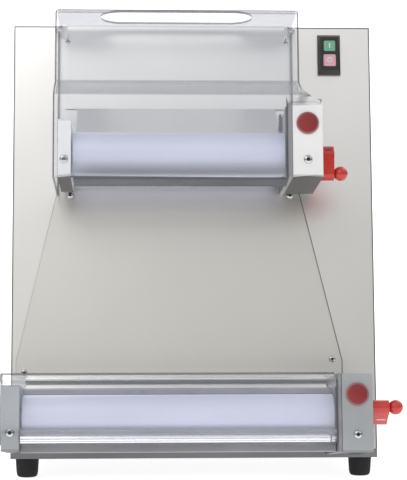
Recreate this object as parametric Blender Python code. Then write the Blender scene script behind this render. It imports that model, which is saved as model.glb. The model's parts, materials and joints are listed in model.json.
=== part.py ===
"""Two-stage bench dough sheeter, built as separate sub-parts.

Lengths in this file are millimetres; the mesh builder writes metres, +Z up.
The sloping front panel has a frame of its own, an empty that leans back by LEAN:
x runs to the right, u is the distance in front of the panel and v the height along it.
"""
import math

import bmesh
import bpy

# ---------------------------------------------------------------- driving dimensions
MM = 0.001
GAP = 0.3                      # clearance between pieces that touch
LEAN = math.radians(8.0)       # lean of the front panel
BODY_WIDTH = 500.0
HALF_WIDTH = BODY_WIDTH / 2
PANEL_FOOT_Y = -67.8           # lower edge of the front panel
BACK_Y = 207.4                 # outer face of the back cover
BASE_Z = 26.0
BASE_HEIGHT = 11.0
PANEL_TOP = 603.0
ROOF_Z = 622.0
SHEET = 1.5                    # stainless sheet
CHUTE_U = 1.0                  # back of the dough chute
FRAME_U = CHUTE_U + SHEET + GAP    # where blocks, plates and covers start, in front of the chute
CLEAR = 3.0                    # clear plastic sheet
FOOT_RADIUS = 16.0
FOOT_X = 228.0
VENT_SLOTS = 5
VENT_HALF_WIDTH = 45.0
VENT_LOW_Z = 150.0
VENT_PITCH = 14.0
VENT_HEIGHT = 3.6

ROLLER_RADIUS = 29.0
SHAFT_RADIUS = 6.0
JOURNAL = 11.0
REACH = 150.0                  # front of the bearing blocks and gear covers
NEAREST_U = 108.0              # a front roller's axis when its gap is smallest
GAP_TRAVEL = 4.0               # how far a front roller moves
SLIDER_HALF = 12.0             # half the side of a sliding bearing
GEAR_TEETH = 14
GEAR_ROOT = 24.0
GEAR_TIP = 33.0
GEAR_WIDTH = 15.0
PULLEY_RADIUS = 15.0
PULLEY_WIDTH = 13.0
BELT_WIDTH = 12.0
BELT_THICKNESS = 3.0
BELT_STEPS = 9                 # flats on each half turn of a belt
INNER_SHAFT_U = -60.0          # the two shafts behind the panel
LONG_BELT_X = (165.0, 177.0)
ARM_LENGTH = 25.5              # lever pivot to ball knob
BALL_RADIUS = 9.8
COVER_WALL = 2.5
STEP_U = 12.0                  # the upper cover's underside is raised behind this
STEP_HEIGHT = 14.0

UPPER_HINGE = (14.0, 594.0)    # (u, v) of the upper guard's pivot
LOWER_HINGE = (140.0, 23.0)
HOOD_DEPTH = 100.0
GUARD_DEPTH = 155.0
HOOD_TOP = 602.0
HOOD_SIDE_X = 140.0
HOOD_BEND = 8.0
UPPER_GUARD_X = (-188.5, 119.0)
LOWER_GUARD_LEFT = -256.0
FLARE_CENTRE = (163.5, 488.5)  # (x, v) of the hood's outward curve above the gear cover
FLARE_RADIUS = 25.0
FEED_X = (-178.0, 132.0)       # the feed plate's sides
EAR_THICKNESS = 3.0
PIN_HOLE = 3.1
SLOT_RADIUS = 30.0             # half the width of the hood's feed slot
SLOT_U = 59.0

SWITCH_X = 192.0
SWITCH_V = 562.5


class Stage:
    """The sizes of one pair of rollers, its blocks and its cover."""

    def __init__(self, name, axis_v, front_u, rest_gap, roller_x, block_x, block_v,
                 plate_x, cover_x, cover_v, cap_v, arm_angle, lever_width, knob_tip):
        self.name = name
        self.axis_v = axis_v
        self.front_u = front_u
        self.rear_u = front_u - 2 * ROLLER_RADIUS - rest_gap
        self.roller_x = roller_x
        self.block_x = block_x
        self.block_v = block_v
        self.plate_x = plate_x
        self.cover_x = cover_x
        self.cover_v = cover_v
        self.cap_v = cap_v
        self.arm_angle = math.radians(arm_angle)     # 0 points forward, 90 up
        self.lever_width = lever_width
        self.knob_tip = knob_tip
        self.gear_x = cover_x[0] + 2.5
        self.pulley_x = cover_x[0] + 21.5
        self.middle_x = sum(cover_x) / 2


UPPER = Stage("upper", 398.7, 112.0, 5.0, (-163.0, 117.0), (-182.0, -165.0), (362.0, 439.0),
              (119.5, 125.1), (125.4, 165.2), (362.5, 461.0), 434.0, -90.0, 17.0, 202.0)
LOWER = Stage("lower", 52.0, 108.0, 0.5, (-227.0, 177.0), (-252.0, -229.3), (7.6, 92.0),
              (179.3, 184.0), (184.3, 224.5), (4.3, 105.8), 78.6, 24.0, 22.0, 266.2)


# ---------------------------------------------------------------- materials
def material(name, colour, roughness, metallic=0.0):
    made = bpy.data.materials.new(name)
    made.use_nodes = True
    shader = made.node_tree.nodes["Principled BSDF"]
    shader.inputs["Base Color"].default_value = (*colour, 1.0)
    shader.inputs["Roughness"].default_value = roughness
    shader.inputs["Metallic"].default_value = metallic
    return made


# ---------------------------------------------------------------- mesh helpers
def arc(centre, radius, start, end, steps):
    """Points on an arc, in degrees, ends included."""
    points = []
    for step in range(steps + 1):
        angle = math.radians(start + (end - start) * step / steps)
        points.append((centre[0] + radius * math.cos(angle), centre[1] + radius * math.sin(angle)))
    return points


def circle(radius, count, centre=(0.0, 0.0)):
    return arc(centre, radius, 0.0, 360.0, count)[:-1]


def rectangle(low_a, high_a, low_b, high_b):
    return [(low_a, low_b), (high_a, low_b), (high_a, high_b), (low_a, high_b)]


def strip(path, thickness):
    """Outline of a bent sheet whose middle line is the path."""
    half = thickness / 2
    left, right = [], []
    last = len(path) - 1
    for index, (a, b) in enumerate(path):
        before = path[max(index - 1, 0)]
        after = path[min(index + 1, last)]
        first = math.atan2(b - before[1], a - before[0]) if index > 0 else None
        second = math.atan2(after[1] - b, after[0] - a) if index < last else first
        first = second if first is None else first
        turn = math.atan2(math.sin(second - first), math.cos(second - first)) / 2
        normal = first + turn + math.pi / 2
        reach = half / math.cos(turn)
        left.append((a + reach * math.cos(normal), b + reach * math.sin(normal)))
        right.append((a - reach * math.cos(normal), b - reach * math.sin(normal)))
    return left + right[::-1]


def bridge(bm, first, second):
    count = len(first)
    for index in range(count):
        after = (index + 1) % count
        bm.faces.new((first[index], first[after], second[after], second[index]))


def prism(outline, axis, low, high):
    """Extrudes an outline: (u, v) along X, (x, v) along U, (x, u) along V, or a world one along X or Z."""
    place = {
        "X": lambda a, b, c: (c, -a, b),
        "U": lambda a, b, c: (a, -c, b),
        "V": lambda a, b, c: (a, -b, c),
        "WORLD_X": lambda a, b, c: (c, a, b),
        "Z": lambda a, b, c: (a, b, c),
    }[axis]
    bm = bmesh.new()
    rings = [[bm.verts.new(place(a, b, c)) for a, b in outline] for c in (low, high)]
    bridge(bm, rings[0], rings[1])
    bm.faces.new(rings[0])
    bm.faces.new(rings[1])
    return bm


def ring_prism(outer, inner, low, high):
    """A ring extruded along X between two (u, v) outlines with the same number of points."""
    bm = bmesh.new()
    rings = []
    for outline, x in ((outer, low), (outer, high), (inner, high), (inner, low)):
        rings.append([bm.verts.new((x, -u, v)) for u, v in outline])
    for index in range(4):
        bridge(bm, rings[index], rings[(index + 1) % 4])
    return bm


def turned(profile, segments):
    """Turns (x, radius) points about the X axis and closes both ends with flat caps."""
    bm = bmesh.new()
    rings = []
    for x, radius in profile:
        rings.append([bm.verts.new((x, y, z)) for y, z in circle(radius, segments)])
    for first, second in zip(rings, rings[1:]):
        bridge(bm, first, second)
    bm.faces.new(rings[0])
    bm.faces.new(rings[-1])
    return bm


def box(low, high):
    return prism(rectangle(low[0], high[0], low[1], high[1]), "Z", low[2], high[2])


def panel_box(x, u, v):
    """A box in the panel's frame."""
    return prism(rectangle(u[0], u[1], v[0], v[1]), "X", x[0], x[1])


def build(name, bm, finish, parent=None, place=(0.0, 0.0, 0.0), turn=(0.0, 0.0, 0.0), smooth=False):
    """Makes a named object of a working mesh."""
    bmesh.ops.scale(bm, vec=(MM, MM, MM), verts=bm.verts)
    bmesh.ops.recalc_face_normals(bm, faces=bm.faces)
    mesh = bpy.data.meshes.new(name)
    bm.to_mesh(mesh)
    bm.free()
    mesh.materials.append(finish)
    if smooth:
        mesh.shade_smooth()
        mesh.set_sharp_from_angle(angle=math.radians(35))
    made = bpy.data.objects.new(name, mesh)
    bpy.context.scene.collection.objects.link(made)
    made.parent = parent
    made.location = [part * MM for part in place]
    made.rotation_euler = turn
    return made


def combine(target, bm, operation, parent, place=(0.0, 0.0, 0.0), turn=(0.0, 0.0, 0.0)):
    """Adds or cuts a helper solid, which stays in the file as a hidden wire shape."""
    order = len(target.modifiers)
    helper = build(f"{target.name}_helper_{order}", bm, target.data.materials[0], parent, place, turn)
    helper.hide_render = True
    helper.display_type = "WIRE"
    step = target.modifiers.new(f"{operation.lower()}_{order}", "BOOLEAN")
    step.operation = operation
    step.solver = "EXACT"
    step.object = helper


def stadium(start, end, radius, steps):
    """Outline of a belt that runs round two equal circles."""
    along = math.degrees(math.atan2(end[1] - start[1], end[0] - start[0]))
    return arc(start, radius, along + 90, along + 270, steps) + arc(end, radius, along - 90, along + 90, steps)


FORWARD = (0.0, 0.0, -math.pi / 2)    # turns a piece's X axis to point forward
BACKWARD = (0.0, 0.0, math.pi / 2)
UPWARD = (0.0, -math.pi / 2, 0.0)


# ---------------------------------------------------------------- casing
def world_of(u, v):
    """World (y, z) of a point in the panel's frame."""
    return (PANEL_FOOT_Y + v * math.sin(LEAN) - u * math.cos(LEAN),
            BASE_Z + v * math.cos(LEAN) + u * math.sin(LEAN))


def make_casing(panel, steel, dark):
    base_top = BASE_Z + BASE_HEIGHT
    base = build("base_plate", box((-HALF_WIDTH, PANEL_FOOT_Y, BASE_Z), (HALF_WIDTH, BACK_Y, base_top)), steel)
    combine(base, box((-HALF_WIDTH + SHEET, PANEL_FOOT_Y + SHEET, BASE_Z + SHEET),
                      (HALF_WIDTH - SHEET, BACK_Y - SHEET, base_top + 5.0)), "DIFFERENCE", None)

    bottom_v = (BASE_HEIGHT + GAP) / math.cos(LEAN) + 0.2
    front = build("front_panel", panel_box((-HALF_WIDTH, HALF_WIDTH), (-SHEET, 0.0), (bottom_v, PANEL_TOP)),
                  steel, panel)
    for stage in (UPPER, LOWER):
        slot_half = PULLEY_RADIUS + BELT_THICKNESS + 2.5
        combine(front, panel_box((stage.pulley_x - 1.5, stage.pulley_x + PULLEY_WIDTH + 1.5), (-10.0, 10.0),
                                 (stage.axis_v - slot_half, stage.axis_v + slot_half)), "DIFFERENCE", panel)
    combine(front, panel_box((SWITCH_X - 12.0, SWITCH_X + 12.0), (-10.0, 10.0),
                             (SWITCH_V - 22.0, SWITCH_V + 22.0)), "DIFFERENCE", panel)

    side_bottom = base_top + GAP
    side_top = ROOF_Z - SHEET - GAP
    slope = math.tan(LEAN)
    edge_foot = world_of(-SHEET - GAP, 0.0)
    side = [(edge_foot[0] + (side_bottom - edge_foot[1]) * slope, side_bottom),
            (BACK_Y - SHEET - GAP, side_bottom),
            (BACK_Y - SHEET - GAP, side_top),
            (edge_foot[0] + (side_top - edge_foot[1]) * slope, side_top)]
    build("left_side_panel", prism(side, "WORLD_X", -HALF_WIDTH, -HALF_WIDTH + SHEET), steel)
    build("right_side_panel", prism(side, "WORLD_X", HALF_WIDTH - SHEET, HALF_WIDTH), steel)
    roof_front = edge_foot[0] + (ROOF_Z - edge_foot[1]) * slope
    build("top_panel", box((-HALF_WIDTH, roof_front, ROOF_Z - SHEET), (HALF_WIDTH, BACK_Y, ROOF_Z)), steel)

    back = build("back_cover", box((-HALF_WIDTH, BACK_Y - SHEET, side_bottom), (HALF_WIDTH, BACK_Y, side_top)),
                 steel)
    for column in (-120.0, 120.0):
        for row in range(VENT_SLOTS):
            low = VENT_LOW_Z + VENT_PITCH * row
            combine(back, box((column - VENT_HALF_WIDTH, BACK_Y - 10.0, low),
                              (column + VENT_HALF_WIDTH, BACK_Y + 5.0, low + VENT_HEIGHT)), "DIFFERENCE", None)
    gland_place = (-150.0, BACK_Y, 75.0)
    combine(back, turned([(-8.0, 8.3), (5.0, 8.3)], 16), "DIFFERENCE", None, gland_place, BACKWARD)
    gland = [(2.0, 4.0), (10.0, 4.0), (10.0, 8.0), (6.0, 11.0), (GAP, 11.0), (GAP, 8.0), (-7.0, 8.0)]
    build("cable_gland", turned(gland, 16), dark, None, gland_place, BACKWARD, True)

    foot = [(0.0, FOOT_RADIUS - 3.5), (2.5, FOOT_RADIUS - 1.2), (BASE_Z - GAP, FOOT_RADIUS)]
    rows = (("front", PANEL_FOOT_Y + FOOT_RADIUS + 2.0), ("rear", BACK_Y - FOOT_RADIUS - 8.0))
    for row, y in rows:
        for side_name, sign in (("left", -1), ("right", 1)):
            build(f"foot_{row}_{side_name}", turned(foot, 20), dark, None, (sign * FOOT_X, y, 0.0), UPWARD, True)


def make_plates(panel, steel):
    """The dough's two slides: the upper feed plate and the chute between the stages."""
    middle = 3.0
    feed = build("feed_plate", panel_box(FEED_X, (middle - SHEET / 2, middle + SHEET / 2),
                                         (484.0, 604.0)), steel, panel)
    slide = strip([(middle, 490.0), (middle, 484.0), (68.0, 433.0)], SHEET)
    combine(feed, prism(slide, "X", -161.0, 115.0), "UNION", panel)
    ear = [(middle, 582.0), (UPPER_HINGE[0] + 4.5, 582.0)] + arc(UPPER_HINGE, 4.5, 0, 180, 8)
    ear += [(UPPER_HINGE[0] - 4.5, 590.0), (middle, 586.0)]
    for ear_x in (FEED_X[0], FEED_X[1] - EAR_THICKNESS):
        combine(feed, prism(ear, "X", ear_x, ear_x + EAR_THICKNESS), "UNION", panel)
    combine(feed, turned([(FEED_X[0] - 12.0, PIN_HOLE), (FEED_X[1] + 13.0, PIN_HOLE)], 16), "DIFFERENCE", panel,
            (0.0, -UPPER_HINGE[0], UPPER_HINGE[1]))

    trapezoid = [(-189.0, 369.6), (147.0, 369.6), (204.0, 132.3), (204.0, 110.0), (-244.0, 110.0), (-244.0, 132.3)]
    chute = build("dough_chute", prism(trapezoid, "U", CHUTE_U, CHUTE_U + SHEET), steel, panel)
    middle = CHUTE_U + SHEET / 2
    tongue = strip([(middle, 120.0), (middle, 112.0), (58.0, 87.0)], SHEET)
    combine(chute, prism(tongue, "X", LOWER.roller_x[0], LOWER.roller_x[1]), "UNION", panel)


# ---------------------------------------------------------------- roller stages
def gear_outline(phase):
    """A gear with long teeth, so that it stays in mesh while the roller gap changes."""
    pitch = 2 * math.pi / GEAR_TEETH
    points = []
    for tooth in range(GEAR_TEETH):
        for radius, half_width in ((GEAR_ROOT, -3.0), (GEAR_TIP, -1.75), (GEAR_TIP, 1.75), (GEAR_ROOT, 3.0)):
            angle = (tooth + phase) * pitch + half_width / radius
            points.append((radius * math.cos(angle), radius * math.sin(angle)))
    return points


def bore_outline(outer, radius):
    """A circle with one point for each point of the outline, at the same angle."""
    points = []
    for a, b in outer:
        angle = math.atan2(b, a)
        points.append((radius * math.cos(angle), radius * math.sin(angle)))
    return points


def square_outline(half, count):
    points = []
    for a, b in circle(1.0, count):
        reach = half / max(abs(a), abs(b))
        points.append((a * reach, b * reach))
    return points


def make_roller(stage, which, axis, shaft_end, panel, plastic):
    left, right = stage.roller_x
    profile = [(left - JOURNAL, SHAFT_RADIUS), (left, SHAFT_RADIUS), (left, ROLLER_RADIUS - 1.5),
               (left + 1.5, ROLLER_RADIUS), (right - 1.5, ROLLER_RADIUS), (right, ROLLER_RADIUS - 1.5),
               (right, SHAFT_RADIUS), (shaft_end, SHAFT_RADIUS)]
    build(f"{stage.name}_{which}_roller", turned(profile, 32), plastic, panel, axis, smooth=True)


def make_rollers(stage, panel, plastic, steel, dark):
    rear = (0.0, -stage.rear_u, stage.axis_v)
    front = (0.0, -stage.front_u, stage.axis_v)
    gear_end = stage.gear_x + GEAR_WIDTH
    make_roller(stage, "rear", rear, stage.pulley_x + PULLEY_WIDTH + 1.0, panel, plastic)
    make_roller(stage, "front", front, gear_end + 1.0, panel, plastic)
    bore = SHAFT_RADIUS + GAP
    for which, axis, phase in (("rear", rear, 0.0), ("front", front, 0.5)):
        outline = gear_outline(phase)
        build(f"{stage.name}_{which}_gear", ring_prism(outline, bore_outline(outline, bore), stage.gear_x, gear_end),
              steel, panel, axis)
    rim = circle(PULLEY_RADIUS, 24)
    build(f"{stage.name}_rear_pulley", ring_prism(rim, bore_outline(rim, bore), stage.pulley_x,
                                                   stage.pulley_x + PULLEY_WIDTH), dark, panel, rear, smooth=True)
    slider = square_outline(SLIDER_HALF, 16)
    hole = bore_outline(slider, bore)
    left_end = stage.block_x[1]
    for side_name, span in (("left", (left_end - 10.0, left_end)), ("right", stage.plate_x)):
        build(f"{stage.name}_front_bearing_{side_name}", ring_prism(slider, hole, span[0], span[1]), dark,
              panel, front)


def slider_window(stage, x):
    """The slot that a sliding bearing runs in, which leaves room for its travel."""
    half = SLIDER_HALF + GAP
    return panel_box(x, (NEAREST_U - half, NEAREST_U + GAP_TRAVEL + half), (stage.axis_v - half, stage.axis_v + half))


def make_frames(stage, panel, cast, steel):
    low, high = stage.block_v
    foot_v = (low + 12.0, high - 12.0)
    outline = [(30.0, low), (REACH - 3.0, low), (REACH, low + 3.0), (REACH, high - 3.0), (REACH - 3.0, high),
               (30.0, high), (30.0, foot_v[1]), (FRAME_U, foot_v[1]), (FRAME_U, foot_v[0]), (30.0, foot_v[0])]
    block = build(f"{stage.name}_left_block", prism(outline, "X", *stage.block_x), cast, panel)
    inner_face = stage.block_x[1]
    rear = (0.0, -stage.rear_u, stage.axis_v)
    bore = SHAFT_RADIUS + GAP
    combine(block, slider_window(stage, (inner_face - 10.0 - GAP, inner_face + 5.0)), "DIFFERENCE", panel)
    combine(block, turned([(inner_face - 10.0, bore), (inner_face + 5.0, bore)], 16), "DIFFERENCE", panel, rear)

    v_low, v_high = stage.cover_v
    plate = build(f"{stage.name}_inner_plate", panel_box(stage.plate_x, (FRAME_U, REACH), (v_low, v_high)),
                  steel, panel)
    span = (stage.plate_x[0] - 5.0, stage.plate_x[1] + 5.0)
    combine(plate, slider_window(stage, span), "DIFFERENCE", panel)
    combine(plate, turned([(span[0], bore), (span[1], bore)], 16), "DIFFERENCE", panel, rear)

    step = STEP_HEIGHT if stage is UPPER else 0.0
    outer = [(FRAME_U, v_low + step), (STEP_U, v_low + step), (STEP_U, v_low), (REACH - 3.0, v_low),
             (REACH, v_low + 3.0), (REACH, v_high - 3.0), (REACH - 3.0, v_high), (FRAME_U, v_high)]
    if not step:
        outer = [outer[0]] + outer[3:]
    cover = build(f"{stage.name}_gear_cover", prism(outer, "X", *stage.cover_x), cast, panel)
    wall = COVER_WALL
    inner = [(-5.0, v_low + step + wall), (STEP_U + wall, v_low + step + wall), (STEP_U + wall, v_low + wall),
             (REACH - wall, v_low + wall), (REACH - wall, v_high - wall), (-5.0, v_high - wall)]
    if not step:
        inner = [inner[0]] + inner[3:]
    combine(cover, prism(inner, "X", stage.cover_x[0] - 5.0, stage.cover_x[1] - wall), "DIFFERENCE", panel)
    pivot = (0.0, -stage.front_u, stage.axis_v)
    combine(cover, turned([(stage.cover_x[1] - 8.0, 5.0), (stage.cover_x[1] + 5.0, 5.0)], 16),
            "DIFFERENCE", panel, pivot)


def make_cap(stage, panel, red):
    profile = [(GAP, 14.8), (1.6, 14.8), (2.6, 13.6), (2.6, 11.5), (2.0, 11.0)]
    build(f"{stage.name}_red_cap", turned(profile, 28), red, panel, (stage.middle_x, -REACH, stage.cap_v),
          FORWARD, True)


def make_lever(stage, panel, red):
    """A cast arm with a spring plunger; its shaft carries the eccentric that moves the front roller."""
    pivot = (0.0, -stage.front_u, stage.axis_v)
    near = stage.cover_x[1] + 0.8
    far = near + stage.lever_width
    reach = (ARM_LENGTH * math.cos(stage.arm_angle), ARM_LENGTH * math.sin(stage.arm_angle))
    heading = math.degrees(stage.arm_angle)
    outline = arc((0.0, 0.0), 11.5, heading + 80, heading + 280, 8) + arc(reach, 9.5, heading - 80, heading + 80, 6)
    lever = build(f"{stage.name}_lever", prism(outline, "X", near, far), red, panel, pivot)
    inside = stage.cover_x[1] - COVER_WALL
    shaft = [(inside - 2.5, 4.5), (near + 2.0, 4.5)]
    combine(lever, turned(shaft, 16), "UNION", panel, pivot)
    eccentric = [(inside - 9.0, 8.0), (inside - 2.0, 8.0)]
    combine(lever, turned(eccentric, 16), "UNION", panel, (0.0, -stage.front_u - 2.0, stage.axis_v))
    knob = (0.0, -stage.front_u - reach[0], stage.axis_v + reach[1])
    combine(lever, turned([(near - 5.0, 3.5), (far + 5.0, 3.5)], 16), "DIFFERENCE", panel, knob)

    centre = stage.knob_tip - BALL_RADIUS
    profile = [(near, 3.1), (far + 0.8, 3.1), (far + 0.8, 4.5), (centre - 8.8, 4.5)]
    profile += [(centre + BALL_RADIUS * math.sin(math.radians(angle)), BALL_RADIUS * math.cos(math.radians(angle)))
                for angle in (-58, -35, -12, 12, 35, 58, 78)]
    build(f"{stage.name}_plunger", turned(profile, 18), red, panel, knob, smooth=True)


# ---------------------------------------------------------------- clear guards
def make_upper_guard(panel, clear, steel):
    mid_top = HOOD_TOP - CLEAR / 2
    mid_hood = HOOD_DEPTH - CLEAR / 2
    mid_front = GUARD_DEPTH - CLEAR / 2
    left, right = UPPER_GUARD_X
    corner = arc((mid_hood - HOOD_BEND, mid_top - HOOD_BEND), HOOD_BEND, 90, 0, 5)
    hood = strip([(12.0, mid_top)] + corner + [(mid_hood, 500.0), (mid_front, 473.0)], CLEAR)
    guard = build("upper_guard", prism(hood, "X", left, HOOD_SIDE_X), clear, panel)
    front = strip([(mid_front - 2.0, 474.0), (mid_front, 473.0), (mid_front, 360.0)], CLEAR)
    combine(guard, prism(front, "X", left, right), "UNION", panel)
    fold = strip([(mid_front, 364.0), (mid_front, 360.0), (118.0, 356.5)], CLEAR)
    combine(guard, prism(fold, "X", -161.0, right), "UNION", panel)
    rim = arc((HOOD_DEPTH - HOOD_BEND, HOOD_TOP - HOOD_BEND), HOOD_BEND, 90, 0, 5)
    side = [(8.0, HOOD_TOP)] + rim + [(HOOD_DEPTH, 501.0), (GUARD_DEPTH, 474.0)]
    left_side = side + [(GUARD_DEPTH, 360.0), (14.0, 360.0), (8.0, 380.0)]
    combine(guard, prism(left_side, "X", left, left + CLEAR), "UNION", panel)
    right_side = side[:-1] + [(HOOD_DEPTH + 26.0, 488.0), (16.0, 488.0), (8.0, 495.0)]
    combine(guard, prism(right_side, "X", HOOD_SIDE_X - CLEAR, HOOD_SIDE_X), "UNION", panel)
    flare_path = [(HOOD_SIDE_X - CLEAR / 2, 492.0)] + arc(FLARE_CENTRE, FLARE_RADIUS, 180, 270, 6)
    combine(guard, prism(strip(flare_path, CLEAR), "U", 16.0, GUARD_DEPTH), "UNION", panel)
    combine(guard, panel_box((right - CLEAR, right), (142.5, GUARD_DEPTH - 1.0), (357.5, 473.0)), "UNION", panel)
    slot = stadium((-98.0, SLOT_U), (50.0, SLOT_U), SLOT_RADIUS, 8)
    combine(guard, prism(slot, "V", HOOD_TOP - 12.0, HOOD_TOP + 8.0), "DIFFERENCE", panel)
    hinge = (0.0, -UPPER_HINGE[0], UPPER_HINGE[1])
    combine(guard, turned([(left - 5.0, PIN_HOLE), (HOOD_SIDE_X + 5.0, PIN_HOLE)], 16), "DIFFERENCE", panel, hinge)
    pin = [(left - 3.0, 4.0), (left - 2.2, 5.0), (left - GAP, 5.0), (left - GAP, 2.8), (FEED_X[0] - GAP, 2.8)]
    build("upper_guard_pin_left", turned(pin, 16), steel, panel, hinge, smooth=True)
    pin = [(HOOD_SIDE_X + 3.0, 4.0), (HOOD_SIDE_X + 2.2, 5.0), (HOOD_SIDE_X + GAP, 5.0),
           (HOOD_SIDE_X + GAP, 2.8), (FEED_X[1] + GAP, 2.8)]
    build("upper_guard_pin_right", turned(pin, 16), steel, panel, hinge, smooth=True)


def make_lower_guard(panel, clear, steel):
    mid_front = GUARD_DEPTH - CLEAR / 2
    left = LOWER_GUARD_LEFT
    right = LOWER.plate_x[0] - GAP
    path = [(112.0, 108.0), (mid_front - 4.0, 96.0), (mid_front, 92.0), (mid_front, 34.0)]
    guard = build("lower_guard", prism(strip(path, CLEAR), "X", left, right), clear, panel)
    fold = strip([(mid_front, 36.0), (mid_front, 28.0), (146.0, 17.0)], CLEAR)
    combine(guard, prism(fold, "X", LOWER.block_x[1] + 1.0, right), "UNION", panel)
    side = [(111.5, 109.2), (GUARD_DEPTH - 5.5, 97.5), (GUARD_DEPTH, 92.5), (GUARD_DEPTH, 27.5), (146.5, 15.5),
            (132.0, 15.5), (132.0, 40.0), (111.0, 104.0)]
    combine(guard, prism(side, "X", left, left + CLEAR), "UNION", panel)
    flange = [(GUARD_DEPTH - 1.0, 88.0), (GUARD_DEPTH - 1.0, 27.8), (146.5, 16.0), (134.0, 16.0), (134.0, 30.0),
              (147.0, 36.0), (147.0, 88.0)]
    combine(guard, prism(flange, "X", right - CLEAR, right), "UNION", panel)
    hinge = (0.0, -LOWER_HINGE[0], LOWER_HINGE[1])
    combine(guard, turned([(left - 5.0, PIN_HOLE), (right + 5.0, PIN_HOLE)], 16), "DIFFERENCE", panel, hinge)
    knob = [(-266.0, 4.5), (-265.0, 6.0), (left - GAP, 6.0), (left - GAP, 2.8), (LOWER.block_x[0] - GAP, 2.8)]
    build("lower_guard_pin_left", turned(knob, 16), steel, panel, hinge, smooth=True)
    pin = [(right - 8.0, 4.0), (right - 7.2, 5.0), (right - CLEAR - GAP, 5.0), (right - CLEAR - GAP, 2.8),
           (right, 2.8)]
    build("lower_guard_pin_right", turned(pin, 16), steel, panel, hinge, smooth=True)
    build("lower_tie_bar", panel_box((LOWER.block_x[1] + GAP, LOWER.plate_x[0] - GAP), (112.0, 128.0), (6.0, 18.0)),
          steel, panel)


# ---------------------------------------------------------------- switch
def stacked(sections):
    """Rectangles (u, half width, half height) joined one after another along U."""
    bm = bmesh.new()
    rings = []
    for u, half_x, half_v in sections:
        rings.append([bm.verts.new((x, -u, v)) for x, v in rectangle(-half_x, half_x, -half_v, half_v)])
    for first, second in zip(rings, rings[1:]):
        bridge(bm, first, second)
    bm.faces.new(rings[0])
    bm.faces.new(rings[-1])
    return bm


def make_switch(panel, dark, green, red):
    centre = (SWITCH_X, 0.0, SWITCH_V)
    sections = [(-32.0, 11.0, 21.0), (GAP, 11.0, 21.0), (GAP, 16.0, 28.5), (4.0, 16.0, 28.5), (12.0, 13.0, 24.0)]
    housing = build("switch_housing", stacked(sections), dark, panel, centre)
    buttons = (("start_button", 11.0, 8.3, 7.6, green), ("stop_button", -9.5, 8.8, 8.5, red))
    for name, offset, half_x, half_v, finish in buttons:
        place = (SWITCH_X, 0.0, SWITCH_V + offset)
        pocket = [(2.0, half_x + 0.4, half_v + 0.4), (20.0, half_x + 0.4, half_v + 0.4)]
        combine(housing, stacked(pocket), "DIFFERENCE", panel, place)
        button = [(5.5, half_x, half_v), (13.5, half_x, half_v), (14.5, half_x - 1.0, half_v - 1.0)]
        build(name, stacked(button), finish, panel, place)
    build("guard_sensor", panel_box((116.0, 119.2), (45.0, 60.0), (445.0, 465.0)), dark, panel)


# ---------------------------------------------------------------- drive
def make_drive(panel, steel, dark, cast):
    motor = [(-200.0, 48.0), (-194.0, 58.0), (-160.0, 58.0), (-160.0, 62.0), (-75.0, 62.0), (-75.0, 50.0),
             (-57.8, 50.0)]
    build("motor", turned(motor, 24), dark, None, (0.0, 20.0, 105.0), smooth=True)
    base_floor = BASE_Z + SHEET + GAP
    build("gearbox", box((-57.5, -38.0, base_floor), (15.0, 82.0, 155.0)), cast)
    build("control_box", box((60.0, 110.0, base_floor), (130.0, 160.0, 120.0)), dark)

    low_axis = (0.0, -INNER_SHAFT_U, LOWER.axis_v)
    high_axis = (0.0, -INNER_SHAFT_U, UPPER.axis_v)
    belt_low, belt_high = LONG_BELT_X
    lower_end = LOWER.pulley_x + PULLEY_WIDTH
    drive = [(15.0 + GAP, SHAFT_RADIUS), (belt_low - 0.5, SHAFT_RADIUS), (belt_low - 0.5, PULLEY_RADIUS),
             (belt_high + 0.5, PULLEY_RADIUS), (belt_high + 0.5, SHAFT_RADIUS), (LOWER.pulley_x, SHAFT_RADIUS),
             (LOWER.pulley_x, PULLEY_RADIUS), (lower_end, PULLEY_RADIUS), (lower_end, SHAFT_RADIUS),
             (lower_end + 3.0, SHAFT_RADIUS)]
    build("drive_shaft", turned(drive, 24), steel, panel, low_axis, smooth=True)
    jack = [(118.0, SHAFT_RADIUS), (UPPER.pulley_x, SHAFT_RADIUS), (UPPER.pulley_x, PULLEY_RADIUS),
            (belt_high + 0.5, PULLEY_RADIUS), (belt_high + 0.5, SHAFT_RADIUS), (200.0, SHAFT_RADIUS)]
    build("jackshaft", turned(jack, 24), steel, panel, high_axis, smooth=True)

    inner = (PULLEY_RADIUS + GAP) / math.cos(math.pi / (2 * BELT_STEPS))
    outer = inner + BELT_THICKNESS
    short = (UPPER.pulley_x + 0.5, UPPER.pulley_x + 0.5 + BELT_WIDTH)
    low_short = (LOWER.pulley_x + 0.5, LOWER.pulley_x + 0.5 + BELT_WIDTH)
    upper_end = (INNER_SHAFT_U, UPPER.axis_v)
    lower_start = (INNER_SHAFT_U, LOWER.axis_v)
    runs = (("upper_belt", (UPPER.rear_u, UPPER.axis_v), upper_end, short),
            ("lower_belt", (LOWER.rear_u, LOWER.axis_v), lower_start, low_short),
            ("long_belt", lower_start, upper_end, LONG_BELT_X))
    for name, start, end, span in runs:
        rims = [stadium(start, end, radius, BELT_STEPS) for radius in (outer, inner)]
        build(name, ring_prism(rims[0], rims[1], *span), dark, panel)

    bore = SHAFT_RADIUS + GAP
    bracket = build("jackshaft_bracket", panel_box((124.0, 140.0), (-78.0, -SHEET - GAP),
                                                   (UPPER.axis_v - 18.0, UPPER.axis_v + 18.0)), steel, panel)
    combine(bracket, turned([(110.0, bore), (150.0, bore)], 16), "DIFFERENCE", panel, high_axis)
    bracket = build("drive_shaft_bracket", panel_box((182.0, 198.0), (-74.0, -46.0),
                                                     (14.0, LOWER.axis_v + 18.0)), steel, panel)
    combine(bracket, turned([(170.0, bore), (210.0, bore)], 16), "DIFFERENCE", panel, low_axis)


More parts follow.
